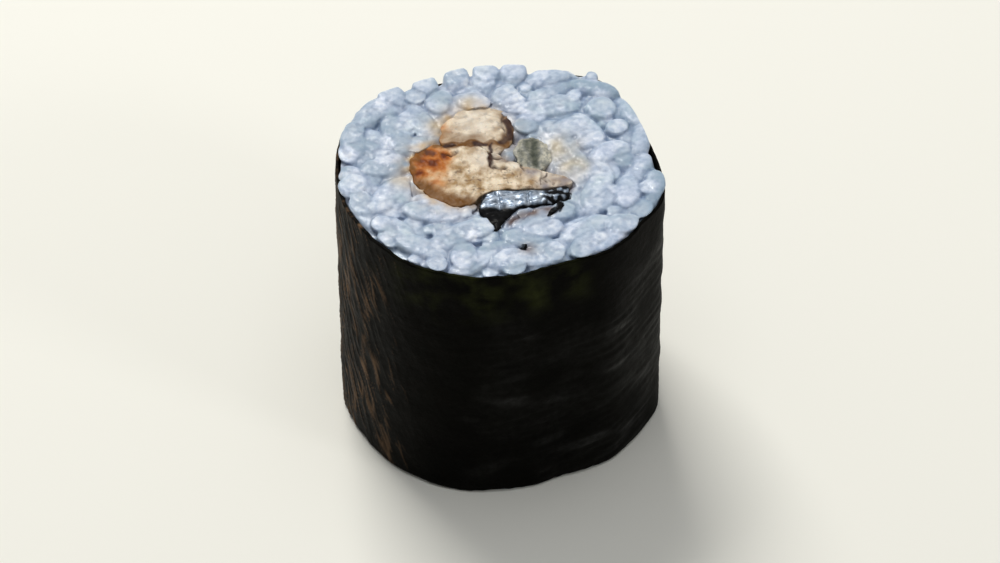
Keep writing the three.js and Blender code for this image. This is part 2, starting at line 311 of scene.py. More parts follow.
def distance_to(points, outline, within=3.0):
    """How far each point lies outside the outline, negative inside it, and the nearest place on it.

    Points further than within from the outline's box are left at that distance.
    """
    away = np.full(len(points), within)
    foot = points.copy()
    low, high = outline.min(axis=0) - within, outline.max(axis=0) + within
    close = np.flatnonzero(((points > low) & (points < high)).all(axis=1))
    along = np.roll(outline, -1, axis=0) - outline
    slope = along[:, 0] / np.where(along[:, 1] == 0, 1, along[:, 1])
    for block in np.array_split(close, len(close) // 4000 + 1):
        offset = points[block][:, None] - outline
        share = np.clip((offset * along).sum(axis=-1) / (along**2).sum(axis=-1), 0, 1)
        nearest = outline + share[..., None] * along
        gap = np.linalg.norm(points[block][:, None] - nearest, axis=-1)
        rows, best = np.arange(len(block)), gap.argmin(axis=1)
        crosses = (offset[..., 1] < 0) != (offset[..., 1] < along[:, 1])
        inside = (crosses & (offset[..., 0] < slope * offset[..., 1])).sum(axis=1) % 2 == 1
        away[block] = np.where(inside, -1, 1) * gap[rows, best]
        foot[block] = nearest[rows, best]
    return away, foot


def drawn_to(outline, other, reach, gap=0.06):
    """The outline with those stretches that lie within reach mm of another one drawn up to it."""
    away, foot = distance_to(outline, other)
    share = smoothstep(-away, -reach, -0.6 * reach) * np.clip(1 - gap / np.maximum(away, 1e-3), 0, 1)
    return outline + share[:, None] * (foot - outline)


def shifted(outline, away, reach, shift):
    """The outline moved where it lies within about reach mm of something. away is how far off that is."""
    return outline + np.exp(-((away / reach) ** 2))[:, None] * shift


MIDDLE = ROLL_HEIGHT / 2
STRIPS = ("main", "upper")  # the eel lies in two strips, each of flesh and skin

# How the strips lie in the roll, apart from the solids' outlines.
# The first pull draws the main skin's black lower prong down into the dark gap in front, where its black
# stands in for the gap's shade.
SKIN_DRAGGED = [((-0.5, -7.3), 1.2, (0.3, -0.8)), ((0.7, -5.8), 0.9, (0.5, 0.0))]  # place, reach, pull
SKIN_CURL = [(-1.2, -3.3), (2.0, -3.0), (6.0, -2.6)]  # here the skin has curled up against the flesh
CURL_REACH = 0.9
FLESH_SEAM = [(-6.0, 3.3), (-0.5, 3.3)]  # here the two strips of flesh are pressed together
FLESH_SEAM_REACH = 1.2
PRESSED_UP = [0.0, 0.4]  # how far both have moved there
FLESH_SHRUNK = [0.0, 0.3]  # how far heat has drawn in the upper strip's back edge
PATCH_SCALE = [0.8, 1.05]  # the upper patch of skin is a little narrower than its solid
PATCH_MOVED = [0.3, 0.0]  # and lies this much further to the left


def strips_in_place():
    """The outlines of the strips of flesh and of skin, drawn together as they are in the roll."""
    flesh = {which: section("eel_flesh_" + which, MIDDLE) for which in STRIPS}
    skin = {which: section("eel_skin_" + which, MIDDLE) for which in STRIPS}
    centre = skin["upper"].mean(axis=0)
    skin["upper"] = centre + PATCH_SCALE * (skin["upper"] - centre) - PATCH_MOVED
    for place, reach, pull in SKIN_DRAGGED:
        skin["main"] = shifted(skin["main"], np.linalg.norm(skin["main"] - place, axis=1), reach, pull)
    for outlines in (flesh, skin):
        to_curl = line_gap(outlines["main"], SKIN_CURL)
        outlines["main"] = shifted(outlines["main"], to_curl, CURL_REACH, PRESSED_UP)
    to_seam = line_gap(flesh["main"], FLESH_SEAM)
    flesh["main"] = shifted(flesh["main"], to_seam, FLESH_SEAM_REACH, PRESSED_UP)
    flesh["upper"] = flesh["upper"] - FLESH_SHRUNK * smoothstep(flesh["upper"][:, 1:], 6.0, 8.0)
    flesh["upper"] = drawn_to(evened(flesh["upper"], 120, 40), flesh["main"], 1.5)
    skin["upper"] = drawn_to(evened(skin["upper"], 120, 40), flesh["main"], 1.0)
    return flesh, skin


rice_outline = evened(section("rice", MIDDLE), 720, 26)
FLESH, SKIN = strips_in_place()
FILLING = [evened(outline, 80, 24) for outline in (*FLESH.values(), *SKIN.values())]

wall_angles = np.arctan2(rice_outline[:, 1], rice_outline[:, 0])
wall_order = np.argsort(wall_angles)
wall_angles = wall_angles[wall_order]
wall_radii = np.hypot(*rice_outline[wall_order].T)


def wall(angle):
    """Radius of the rice's wall at an angle in radians."""
    return np.interp(np.asarray(angle, float), wall_angles, wall_radii, period=2 * math.pi)


def round_point(angle, outward):
    """A point at an angle in radians, outward from the rice's wall."""
    radius = wall(angle) + outward
    return np.stack([radius * np.cos(angle), radius * np.sin(angle)], axis=-1)


def nori_top(angle):
    """Height of the sheet's rim at an angle: it runs down to the back in small ripples."""
    slant = NORI_RIM_SLANT * np.sin(angle)
    slant += NORI_BACK_DROP * smoothstep(np.sin(angle), 0.1, 0.7)
    return ROLL_HEIGHT - NORI_RIM_DROP - slant + 0.08 * np.sin(9 * angle) + 0.06 * np.sin(23 * angle)


# ---------------------------------------------------------------- rice


def clearance(places, spread=0.0):
    """How far the places lie inside the rice's wall and outside the filling.

    spread widens the wall round the back, where grains lie over the sheet's rim.
    """
    angle = np.arctan2(places[:, 1], places[:, 0])
    clear = wall(angle) + spread * smoothstep(places[:, 1], -6.0, 2.0) - np.hypot(*places.T)
    for edge in FILLING:
        clear = np.minimum(clear, distance_to(places, edge)[0])
    return clear


DISCS = 5  # how many discs stand for a grain where the knife goes
SMALLEST_DISC = 0.3


def cut_discs(x, y, heading, lean, scale, bite):
    """What the knife's plane shows of a grain: discs along it, as rows of x, y and radius."""
    width, length, thickness = GRAIN / 2 * scale
    along = np.linspace(-1, 1, DISCS) * (length - width)
    depth = min(math.hypot(length * math.sin(lean), thickness * math.cos(lean)), width) - bite
    radius = np.sqrt(np.maximum(width**2 - (along * math.sin(lean) - depth) ** 2, 0))
    level = along * math.cos(lean)
    discs = np.column_stack([x + level * math.cos(heading), y + level * math.sin(heading), radius])
    return discs[radius > SMALLEST_DISC]


# Rounds in which a layer fills up: tries, least and most lean in degrees, size beside a whole grain.
# First grains that lie along the face, then steeper ones, the tips of those that stand, and broken bits.
PACKING = [(700, 0, 20, 1.0), (1600, 15, 60, 0.98), (1200, 40, 90, 0.84), (900, 0, 90, 0.5)]
FIELD = 15.5  # grains are tried up to this far from the middle to each side
FURTHEST = 16  # and no further than this from it in all
BITS_BELOW = 0.7  # grains smaller than this, beside a whole one, are broken bits


def lying_grain(dice, fall, x, y, heading, lean, scale, glassy):
    """A grain as x, y, heading, lean, scale, bite, dip and glassy.

    bite is how much of its top the knife takes, and dip how far its cut lies under the face.
    """
    inset = wall(math.atan2(y, x)) - math.hypot(x, y)
    # Grains near the rim keep round tops at the back and on the right. All others are pressed level.
    rounded = smoothstep(-inset, -4.0, -2.2) * smoothstep(y + 0.45 * x, 0.0, 5.0)
    bite = 0.07 + 0.1 * dice.uniform() + 0.42 * (1 - rounded)
    dip = 0.1 * dice.uniform() ** 2 + fall * (1 + rounded) - 0.14 * rounded
    if scale < BITS_BELOW:
        dip += 0.16  # broken bits lie between the whole grains
    return x, y, math.radians(heading), math.radians(lean), scale, bite, dip, glassy


def fits(discs, taken, pressed, spread):
    """Whether a grain's discs cross no grain laid before it, nor the wall, nor the filling."""
    apart = np.hypot(taken[:, 0, None] - discs[:, 0], taken[:, 1, None] - discs[:, 1])
    if (apart < taken[:, 2, None] + discs[:, 2] - pressed).any():
        return False
    return not (clearance(discs[:, :2], spread) < discs[:, 2] - WALL_PRESSED).any()


def packed_grains(seed, singled=(), fall=0.0, pressed=0.05, spread=0.0):
    """One layer of grains: those placed singly, then as many more as fit.

    fall is how far under the face the layer ends, pressed how far neighbours may overlap, and spread how far
    the grains at the back lie over the wall.
    """
    dice = np.random.default_rng(seed)
    grains = [lying_grain(dice, fall, *place, 1.0, glassy) for *place, glassy in singled]
    taken = np.vstack([np.empty((0, 3)), *(cut_discs(*grain[:6]) for grain in grains)])
    for tries, least, most, size in PACKING:
        for _ in range(tries):
            x, y = dice.uniform(-FIELD, FIELD, 2)
            heading, lean = dice.uniform(0, 360), dice.uniform(least, most)
            scale, glassy = size * dice.uniform(0.92, 1.08), dice.uniform() ** 2
            grain = lying_grain(dice, fall, x, y, heading, lean, scale, glassy)
            discs = cut_discs(*grain[:6])
            if math.hypot(x, y) <= FURTHEST and len(discs) and fits(discs, taken, pressed, spread):
                grains.append(grain)
                taken = np.vstack([taken, discs])
    return grains


def grain_form():
    """A unit grain: blunt at both ends and a little fuller on one side."""
    points, faces = unit_ball()
    x, y, z = points.T
    blunt = np.sign(y) * np.abs(y) ** 0.92
    full = 1 + 0.10 * y - 0.06 * z
    return np.column_stack([x * full, blunt, z * full + 0.10 * (0.4 - y * y)]), faces


GRAIN_POINTS, GRAIN_FACES = grain_form()
CUT_ROUNDING = 0.12  # the edge of a grain's cut end is this soft


def laid_grain(grain, face, up, number):
    """One grain in place, cut by the knife at its face. up is 1 at the top, -1 at the foot."""
    x, y, heading, lean, scale, bite, dip, _ = grain
    half = GRAIN / 2 * scale
    reach = math.hypot(half[1] * math.sin(lean), half[2] * math.cos(lean))
    turn = Matrix.Rotation(heading - math.pi / 2, 3, "Z") @ Matrix.Rotation(up * lean, 3, "X")
    points = (GRAIN_POINTS * half) @ np.array(turn).T
    place = points + number * 7.0  # so that no two grains are alike
    points *= 1 + (0.06 * waves(place, 3.5, 5) + 0.02 * waves(place, 1.4, 6))[:, None]
    depth = min(reach, half[0]) - bite
    points += [x, y, face - up * (dip + depth)]
    cut = face - up * dip
    above = (points[:, 2] - cut) * up
    points[:, 2] -= up * CUT_ROUNDING * np.logaddexp(0, above / CUT_ROUNDING)
    return points


def rice_bed(low, high):
    """The solid mass of rice under the grains: its points and four-cornered faces."""
    levels = [(low, 0.0), (low, 1.0), (low + 3, 1.0), (high - 3, 1.0), (high, 1.0), (high, 0.0)]
    count = 144
    outline = evened(rice_outline, count, 26)
    rings = [np.column_stack([outline * share, np.full(count, height)]) for height, share in levels]
    return np.vstack(rings), between_rings(count, len(rings))


def rice_grains():
    """Every grain of the piece with the face that it ends at: three layers at the top, two at the foot."""
    top, foot = ROLL_HEIGHT, 0.0
    layers = [
        (packed_grains(2027, SHOWN_GRAINS, pressed=0.1, spread=0.4), top, 1),
        (packed_grains(5081, fall=0.1, pressed=0.3), top, 1),
        (packed_grains(7717, fall=0.24, pressed=0.6), top, 1),
        (packed_grains(911), foot, -1),
        (packed_grains(4409, fall=0.2, pressed=0.3), foot, -1),
    ]
    return [(grain, face, up) for grains, face, up in layers for grain in grains]


def gathered_rice():
    """All grains and the bed as one mesh with smooth necks where they stick together."""
    bed_points, bed_faces = rice_bed(BED_FOOT, ROLL_HEIGHT - BED_DROP)
    grains = rice_grains()
    clouds = [laid_grain(grain, face, up, i) for i, (grain, face, up) in enumerate(grains)]
    size = len(GRAIN_POINTS)
    points = np.vstack([bed_points, *clouds])
    offsets = len(bed_points) + size * np.arange(len(clouds))
    faces = (GRAIN_FACES[None] + offsets[:, None, None]).reshape(-1, 3)
    split = np.vstack([bed_faces[:, [0, 1, 2]], bed_faces[:, [0, 2, 3]]])
    body = mesh_piece("rice_and_grains", points, np.vstack([split, faces]))
    with_modifier(body, "REMESH", mode="VOXEL", voxel_size=RICE_VOXEL)
    with_modifier(body, "SMOOTH", factor=0.5, iterations=1)
    return body, grains, clouds


def to_filling(flat, edges=FILLING):
    """How far each point lies outside the nearest of the strips, 0 inside them."""
    return np.maximum(np.min([distance_to(flat, edge)[0] for edge in edges], axis=0), 0)


def between_pieces(flat):
    """1 where two pieces of the filling lie close together, 0 where they are over about 1.9 mm apart."""
    gaps = np.sort([np.maximum(distance_to(flat, edge)[0], 0) for edge in FILLING], axis=0)
    return smoothstep(-(gaps[0] + gaps[1]), -1.9, -0.6)


def nori_squeeze(points):
    """The share to which the nori draws each point in. Over its rim, grains may reach its outer face."""
    angle = np.arctan2(points[:, 1], points[:, 0])
    radius = np.hypot(points[:, 0], points[:, 1])
    over_rim = smoothstep(points[:, 2], nori_top(angle) - 0.1, nori_top(angle) + 0.3)
    limit = wall(angle) + 0.05 + over_rim * (NORI_COVER - 0.05)
    spare = 0.15  # grains flatten against the sheet over this depth
    pressed = limit - spare * np.logaddexp(0, (limit - radius) / spare)
    return np.where(radius > limit - 4 * spare, pressed / np.maximum(radius, 1e-6), 1.0)


def pressed_into_roll(points):
    """The rice held in by the nori, held out by the eel, and level where the knife went."""
    points = points.copy()
    points[:, :2] *= nori_squeeze(points)[:, None]
    for edge in FILLING:
        away, foot = distance_to(points[:, :2], edge)
        inside = away < 0
        points[inside, :2] = foot[inside]
    flat = points[:, :2]
    near_top = smoothstep(points[:, 2], ROLL_HEIGHT - 3, ROLL_HEIGHT - 0.5)
    between = between_pieces(flat)
    points[:, 2] -= BETWEEN_SUNK * between * near_top
    close = to_filling(flat)
    heaped = np.exp(-((close / HEAP_REACH) ** 2))
    heaped *= smoothstep(points[:, 2], ROLL_HEIGHT - 2.4, ROLL_HEIGHT - 1.4)
    level = ROLL_HEIGHT - HEAP_DROP + 0.1 * waves(flat, 1.1, 56) - 0.12 * smoothstep(-close, -0.4, -0.1)
    # Rice is pressed up against the eel, and soft fat fills the gaps between grains.
    points[:, 2] += heaped * (1 - between) * np.maximum(level - points[:, 2], 0)
    smeared = np.clip(near(flat, FAT_SPOTS[:2]), 0, 0.75) * near_top
    points[:, 2] += smeared * (level - points[:, 2])
    dented = 0.022 * waves(points, 0.7, 51, count=30) + 0.02 * waves(points, 2.4, 55)
    points[:, 2] += dented * smoothstep(np.abs(points[:, 2] - MIDDLE), MIDDLE - 4, MIDDLE - 2.5)
    points[:, 2] = np.clip(points[:, 2], 0, ROLL_HEIGHT + 0.4)
    return points


def nearest_grain(points, grains, clouds):
    """For each point the number of its grain and how far it is from the grain's core, 1 at the skin."""
    stations = (-1, -0.5, 0, 0.5, 1)  # along a grain's core
    tree = kdtree.KDTree(len(clouds) * len(stations))
    for number, cloud in enumerate(clouds):
        middle = cloud.mean(axis=0)
        length = np.linalg.svd(cloud - middle, full_matrices=False)[2][0]
        reach = 0.62 * np.abs((cloud - middle) @ length).max()
        for share in stations:
            tree.insert(middle + length * reach * share, number)
    tree.balance()
    half_widths = [GRAIN[0] / 2 * scale for _, _, _, _, scale, *_ in grains]
    best = [min((gap / half_widths[n], n) for _, n, gap in tree.find_n(point, 6)) for point in points]
    return np.array([number for _, number in best]), np.array([gap for gap, _ in best])


def borders(piece, number):
    """1 along the lines where one grain ends and the next begins, 0 elsewhere."""
    ends = np.empty(len(piece.data.edges) * 2, int)
    piece.data.edges.foreach_get("vertices", ends)
    crossing = ends.reshape(-1, 2)[np.diff(number[ends].reshape(-1, 2), axis=1)[:, 0] != 0]
    share = np.zeros(len(number))
    share[crossing.ravel()] = 1
    return blurred(piece, share[:, None], 1)[:, 0]


def paint_grains(body, grains, clouds):
    """Each grain's clear rim and white core, how glassy it is, and painted shade in the creases between
    grains.
    """
    points = points_of(body)
    number, from_core = nearest_grain(points, grains, clouds)
    glassy = np.array([grain[-1] for grain in grains])[number]
    paint(body, "glassy", blurred(body, glassy[:, None], 2)[:, 0])
    core = smoothstep(-from_core, -1.0, -0.25)
    paint(body, "core", blurred(body, core[:, None], 2)[:, 0])
    # Creases and the borders between grains are painted blue-grey: partly clear starch, partly painted shade.
    paint(body, "starch_and_crease_shade", np.clip(hollows(body, 16) / CREASE_DEPTH + 0.6 * borders(body, number), 0, 1))
    cut = smoothstep(points[:, 2], ROLL_HEIGHT - 0.35, ROLL_HEIGHT - 0.08)
    paint(body, "cut", blurred(body, cut[:, None], 1)[:, 0])


def paint_stains(body):
    """Glaze, sauce and fat that the eel has left on the rice of the upper face, and painted shade between
    strips.
    """
    points = points_of(body)
    flat = points[:, :2]
    at_top = smoothstep(points[:, 2], ROLL_HEIGHT - 6, ROLL_HEIGHT - 3)
    left = smoothstep(-flat[:, 0], -1.0, 5.0)
    glaze = np.exp(-to_filling(flat, FILLING[:2]) / GLAZE_REACH) * (0.3 + 0.65 * left)
    glaze *= 1 + 0.5 * waves(flat, 1.5, 53)
    paint(body, "glaze", at_top * np.clip(glaze, 0, 1))
    sauce_and_gap_shade = np.exp(-((line_gap(flat, SAUCE_LINE) / SAUCE_REACH) ** 2))
    sauce_and_gap_shade *= 0.85 + 0.3 * waves(flat, 1.6, 52)
    # Rice between two strips is darkened as well: painted shade in the narrow gap.
    sauce_and_gap_shade += 0.6 * between_pieces(flat) + 0.8 * near(flat, SAUCE_SPOTS)
    paint(body, "sauce_and_gap_shade", at_top * np.clip(sauce_and_gap_shade, 0, 1))
    fat = near(flat, FAT_SPOTS) * (0.8 + 0.3 * waves(flat, 2.2, 54))
    paint(body, "fat", at_top * np.clip(fat, 0, 1))


def rice(material):
    """The rice with its grains, thinned where little or nothing of it shows, and painted."""
    body, laid, clouds = gathered_rice()
    points = pressed_into_roll(points_of(body))
    move_points(body, points)
    unseen = (points[:, 2] > UNSEEN_FROM) & (points[:, 2] < ROLL_HEIGHT - UNSEEN_UNDER_RICE)
    thinned(body, unseen, UNSEEN_KEPT)
    thinned(body, points_of(body)[:, 2] < MIDDLE, RICE_FOOT_KEPT)
    thinned(body, points_of(body)[:, 2] > MIDDLE, RICE_KEPT)
    paint_grains(body, [grain for grain, _, _ in laid], clouds)
    paint_stains(body)
    return finished(body, material, "rice")


# ---------------------------------------------------------------- nori


def window(value, low, high, soft):
    """1 between low and high, 0 outside, with soft edges."""
    return smoothstep(value, low - soft, low + soft) * smoothstep(-value, -high - soft, -high + soft)


def on_sheet(angle, *height):
    """Places round the sheet, for its patterns: x and y, and z where a height is given."""
    return np.column_stack([NORI_RADIUS * np.cos(angle), NORI_RADIUS * np.sin(angle), *height])


def nori_zones(angle, height):
    """How far the sheet is drawn into slanting folds, ribbed by its drying mat, and thin with painted light
    showing green.
    """
    turn = np.degrees(angle) % 360
    folded = window(turn, 150, 222, 26)
    place = on_sheet(angle, height)
    shown = window(turn, 262, 352, 12) + 0.6 * window(turn, 30, 130, 25)
    ribbed = shown * smoothstep(waves(place, 7.0, 33), -0.7, 0.5)
    ribbed *= smoothstep(height, ROLL_HEIGHT - 3, ROLL_HEIGHT - 8)
    thin = window(turn, 222, 305, 12) * smoothstep(height, ROLL_HEIGHT - 8, ROLL_HEIGHT - 2)
    return folded, ribbed, thin


def fold_ridges(angle, height):
    """The slanting folds, from 0 between them to 1 on their ridges: broad ones and fine ones."""
    slanted = np.column_stack([NORI_RADIUS * (angle % (2 * math.pi)) + 0.45 * height, height / 6])
    broad = 1 - np.abs(waves(slanted, 2.1, 34))
    fine = 1 - np.abs(waves(slanted, 0.9, 35, count=24))
    return np.clip(broad, 0, 1), np.clip(fine, 0, 1)


def nori_relief(angle, height):
    """How far the sheet stands out, in mm: grains press through it, and it has wrinkled in the damp."""
    place = on_sheet(angle, height)
    folded, ribbed, _ = nori_zones(angle, height)
    grains = 0.07 * waves(place, 4.2, 31)
    broad, narrow = fold_ridges(angle, height)
    upright = (0.11 * broad**3 + 0.03 * narrow**2) * (0.15 + 0.85 * folded)
    ribs = (0.012 + 0.05 * ribbed) * waves(place / [6.0, 6.0, 1.0], 0.95, 32)
    fine = 0.010 * waves(place, 0.8, 36, count=24)
    return grains + upright + ribs + fine


def sheet_points(around, upward):
    """The sheet's outer and inner points. around and upward run from 0 to 1 along it and up it."""
    start = math.radians(SEAM_START)
    end = math.radians(SEAM_START + 360 + SEAM_OVERLAP)
    angle = start + (end - start) * around
    torn = waves(np.column_stack([upward * ROLL_HEIGHT, upward * 0]), 4, 41)
    angle += 0.02 * torn * smoothstep(around, 0.97, 1.0)
    rim_place = on_sheet(angle)
    foot = NORI_FOOT + 0.06 * (1 + np.sin(11 * angle)) + 0.03 * waves(rim_place, 1.0, 43)
    rim = nori_top(angle) + 0.07 * waves(rim_place, 1.3, 42) + 0.05 * waves(rim_place, 4.0, 44)
    height = foot * (1 - upward) + rim * upward
    lap = math.radians(SEAM_OVERLAP)
    climb = smoothstep(angle, end - lap - math.radians(SEAM_RAMP), end - lap)
    relief = nori_relief(angle, height) * (1 - 0.5 * smoothstep(upward, 0.93, 1.0))
    outward = NORI_COVER - NORI_INSET + relief + climb * (NORI_THICKNESS - LAP_PRESSED)
    outward -= LAP_CLINGS * smoothstep(around, 0.955, 1.0)
    outer = np.column_stack([round_point(angle, outward), height])
    inner = np.column_stack([round_point(angle, outward - NORI_THICKNESS), height])
    return np.vstack([outer, inner])


def sheet_faces(across, up):
    """Four-cornered faces of the sheet: outside, inside, foot, rim, and its two ends."""
    outer = np.arange((across + 1) * (up + 1)).reshape(across + 1, up + 1)
    inner = outer + outer.size
    sides = [
        (outer[:-1, :-1], outer[1:, :-1], outer[1:, 1:], outer[:-1, 1:]),
        (inner[:-1, :-1], inner[:-1, 1:], inner[1:, 1:], inner[1:, :-1]),
        (outer[:-1, 0], inner[:-1, 0], inner[1:, 0], outer[1:, 0]),
        (outer[:-1, -1], outer[1:, -1], inner[1:, -1], inner[:-1, -1]),
        (outer[0, :-1], outer[0, 1:], inner[0, 1:], inner[0, :-1]),
        (outer[-1, :-1], inner[-1, :-1], inner[-1, 1:], outer[-1, 1:]),
    ]
    return np.vstack([np.column_stack([corner.ravel() for corner in side]) for side in sides])


def wound_sheet():
    """One sheet wound once round, its outer end lapped over its inner one."""
    across, up = NORI_GRID
    around = np.repeat(np.linspace(0, 1, across + 1), up + 1)
    upward = np.tile(np.linspace(0, 1, up + 1), across + 1)
    sheet = mesh_piece("nori_sheet", sheet_points(around, upward), sheet_faces(across, up))
    is_lining = np.arange(2 * len(around)) >= len(around)
    # The lining can be seen only along the rim, the foot and the two ends.
    shown = np.abs(np.tile(upward, 2) - 0.5) > 0.46
    shown |= np.abs(np.tile(around, 2) - 0.5) > 0.48
    thinned(sheet, is_lining & ~shown, LINING_KEPT)
    return sheet


def nori(material):
    """The sheet, painted where it shines, green where light through it is painted, and with a painted brown
    sheen on its folds.
    """
    sheet = wound_sheet()
    points = points_of(sheet)
    turn = np.arctan2(points[:, 1], points[:, 0])
    folded, ribbed, thin = nori_zones(turn, points[:, 2])
    glints = smoothstep(waves(points / [4.0, 4.0, 1.0], 1.7, 46), 0.4, 1.3)
    paint(sheet, "sheen", np.clip(0.03 + 0.14 * folded + ribbed * (0.1 + 0.5 * glints), 0, 1))
    # Near the rim in front, thin spots are painted green for light coming through the sheet.
    paint(sheet, "thin_green_glow", np.clip(thin * (0.5 + 0.5 * waves(points, 3.0, 45)), 0, 1))
    broad, fine = fold_ridges(turn, points[:, 2])
    broken = np.clip(0.55 + 0.45 * waves(points / [1.0, 1.0, 4.0], 2.0, 47), 0, 1)
    ridges = np.clip(broad**6 * (0.4 + 0.6 * fine) + 0.65 * fine**5, 0, 1)
    # The brown on the fold ridges at the left side is painted reflection: the folds' sheen laid into the
    # colour.
    paint(sheet, "painted_fold_sheen", broken * folded * ridges)
    return finished(sheet, material, "nori")


# ---------------------------------------------------------------- eel

# Muscle parts in flakes that lie like shells round a middle: x, y.
FLAKES_ROUND = {"main": (-9.6, 0.6), "upper": (-3.0, 1.0)}
FLAKE_PITCH = 1.3
FIBRE_PITCH = 0.45
# Where the flesh has cracked through, by the lines of the cracks.
CRACKS = {
    "main": [
        [(-1.0, 3.2), (-0.9, 1.7), (-0.85, 0.5)],
        [(-0.8, 1.75), (0.6, 1.7), (2.0, 1.35)],
        [(-0.7, 0.4), (0.5, 0.35)],
        [(2.1, 1.9), (2.2, 0.0)],
        [(-5.6, 2.3), (-4.7, 2.0), (-4.0, 2.7)],
        [(3.9, -0.2), (4.3, -1.6)],
    ],
    "upper": [[(0.4, 7.9), (0.1, 6.4), (0.6, 4.9)]],
}
# Where the flesh is roasted, bleached and greyed: x, y, reach. The last two grey spots are painted shade.
ROASTED = [(-7.3, 1.4, 1.9), (-6.1, 0.8, 1.4), (-6.6, 2.4, 1.4), (-7.8, -0.5, 1.3), (-5.3, 2.0, 0.9)]
PALE = [(-2.4, 6.8, 2.8), (-1.4, 1.7, 1.5), (4.4, -0.4, 0.9), (1.4, 0.8, 0.7)]
GREYED_AND_SHADED = [(2.9, -0.2, 0.8), (6.0, -1.4, 1.3), (4.2, -1.8, 0.8), (0.6, 2.1, 0.8), (1.6, 2.0, 0.7)]
# Where sauce has caught and browned, and where it has charred: a line, its width, how dark from 0 to 1.
BROWNED = [
    ([(-7.3, 3.1), (-8.6, 1.2), (-8.5, -0.7), (-7.8, -2.3)], 0.5, 0.85),
    ([(-7.8, -2.3), (-6.4, -3.5), (-4.6, -4.5), (-2.4, -4.9)], 1.2, 1.0),
    ([(-6.2, 3.5), (-4.6, 3.5), (-2.4, 3.8), (0.6, 3.6)], 0.4, 1.0),
    ([(-5.5, 4.8), (-4.4, 4.1), (-2.0, 4.2)], 0.8, 0.6),
    ([(0.2, 3.8), (1.1, 5.2), (1.1, 6.9), (0.5, 8.0)], 0.6, 0.85),
]
CHARRED = [
    ([(0.7, 6.9), (1.0, 5.8), (0.9, 4.6), (0.3, 4.0)], 0.4, 1.0),
    ([(-0.9, 3.5), (-0.9, 0.6)], 0.16, 1.0),
    ([(-2.2, 3.7), (-1.5, 3.6)], 0.3, 0.95),
    ([(-6.9, 2.6), (-6.4, 2.2)], 0.3, 0.6),
    ([(-5.3, 3.4), (-4.6, 3.5)], 0.25, 0.9),
    ([(4.0, -1.6), (4.2, -0.4)], 0.12, 0.8),
]


def eel_strip(name, outline, top, seed):
    """A closed strip the length of the roll with a ragged edge, finely divided."""
    count = 200
    edge = evened(outline, count, 18)
    middle = edge.mean(axis=0)
    outward = (edge - middle) / np.linalg.norm(edge - middle, axis=1)[:, None]
    ragged = 0.15 * waves(edge, 1.7, seed) + 0.05 * waves(edge, 0.8, seed + 1) + 0.16
    edge = edge + outward * ragged[:, None]
    levels = [(EEL_FOOT, 0.0), (EEL_FOOT, 0.96), (EEL_FOOT + 0.15, 1.0), (top, 1.0), (top, 0.0)]
    rings = [np.column_stack([middle + (edge - middle) * share, np.full(count, height)])
             for height, share in levels]
    strip = mesh_piece(name, np.vstack(rings), between_rings(count, len(rings)))
    with_modifier(strip, "REMESH", mode="VOXEL", voxel_size=EEL_VOXEL)
    with_modifier(strip, "SMOOTH", factor=0.5, iterations=1)
    return strip


def to_rim(flat, outline):
    """How far in from the outline each point lies."""
    return np.maximum(-distance_to(flat, outline)[0], 0)


def with_relief(strip, relief, top, rise):
    """Shapes both cut ends of a strip by the relief, in mm, and thins the part between them.

    rise is how far over the roll's height the relief may reach.
    """
    points = points_of(strip)
    at_top = smoothstep(points[:, 2], top - 1.2, top - 0.4)
    at_foot = smoothstep(-points[:, 2], -1.5, -0.7)
    height = relief(points[:, :2])
    points[:, 2] += at_top * height - at_foot * np.minimum(height, 0.2)
    points[:, 2] = np.clip(points[:, 2], 0.05, ROLL_HEIGHT + rise)
    move_points(strip, points)
    unseen = (points[:, 2] < top - UNSEEN_UNDER_EEL) & (points[:, 2] > UNSEEN_FROM)
    thinned(strip, unseen, UNSEEN_KEPT)


def seams(flat, which, seed):
    """How near each point lies to a seam between flakes and to a crack, from 0 to 1."""
    away = np.linalg.norm(flat - FLAKES_ROUND[which], axis=1)
    through = away / FLAKE_PITCH + 0.30 * waves(flat, 4.0, seed) + 0.14 * waves(flat, 1.2, seed + 1)
    to_seam = np.abs((through + 0.5) % 1 - 0.5) * FLAKE_PITCH
    seam = np.clip(0.3 + 0.7 * waves(flat, 2.4, seed + 2), 0, 1) * np.exp(-((to_seam / 0.12) ** 2))
    crooked = flat + 0.12 * np.column_stack([waves(flat, 1.1, seed + 3), waves(flat, 1.1, seed + 4)])
    gaps = [line_gap(crooked, crack) for crack in CRACKS[which]]
    gaping = np.clip(0.8 + 0.4 * waves(flat, 1.5, seed + 8), 0, 1)
    crack = np.exp(-((np.min(gaps, axis=0) / 0.16) ** 2)) * gaping
    return seam, crack


def fibres(flat, which, seed):
    """Ridges of muscle that follow the flakes, mostly within -1 to 1."""
    offset = flat - FLAKES_ROUND[which]
    across = np.linalg.norm(offset, axis=1) / FIBRE_PITCH
    along = 8 * np.arctan2(offset[:, 1], offset[:, 0]) / 1.8
    return waves(np.column_stack([across, along]), 1.0, seed, count=30)


def along_lines(flat, lines):
    """How close the points lie to any of the lines, each with its width and depth, from 0 to 1."""
    share = np.zeros(len(flat))
    for line, width, depth in lines:
        share = np.maximum(share, depth * smoothstep(-line_gap(flat, line), -1.6 * width, -0.5 * width))
    return share


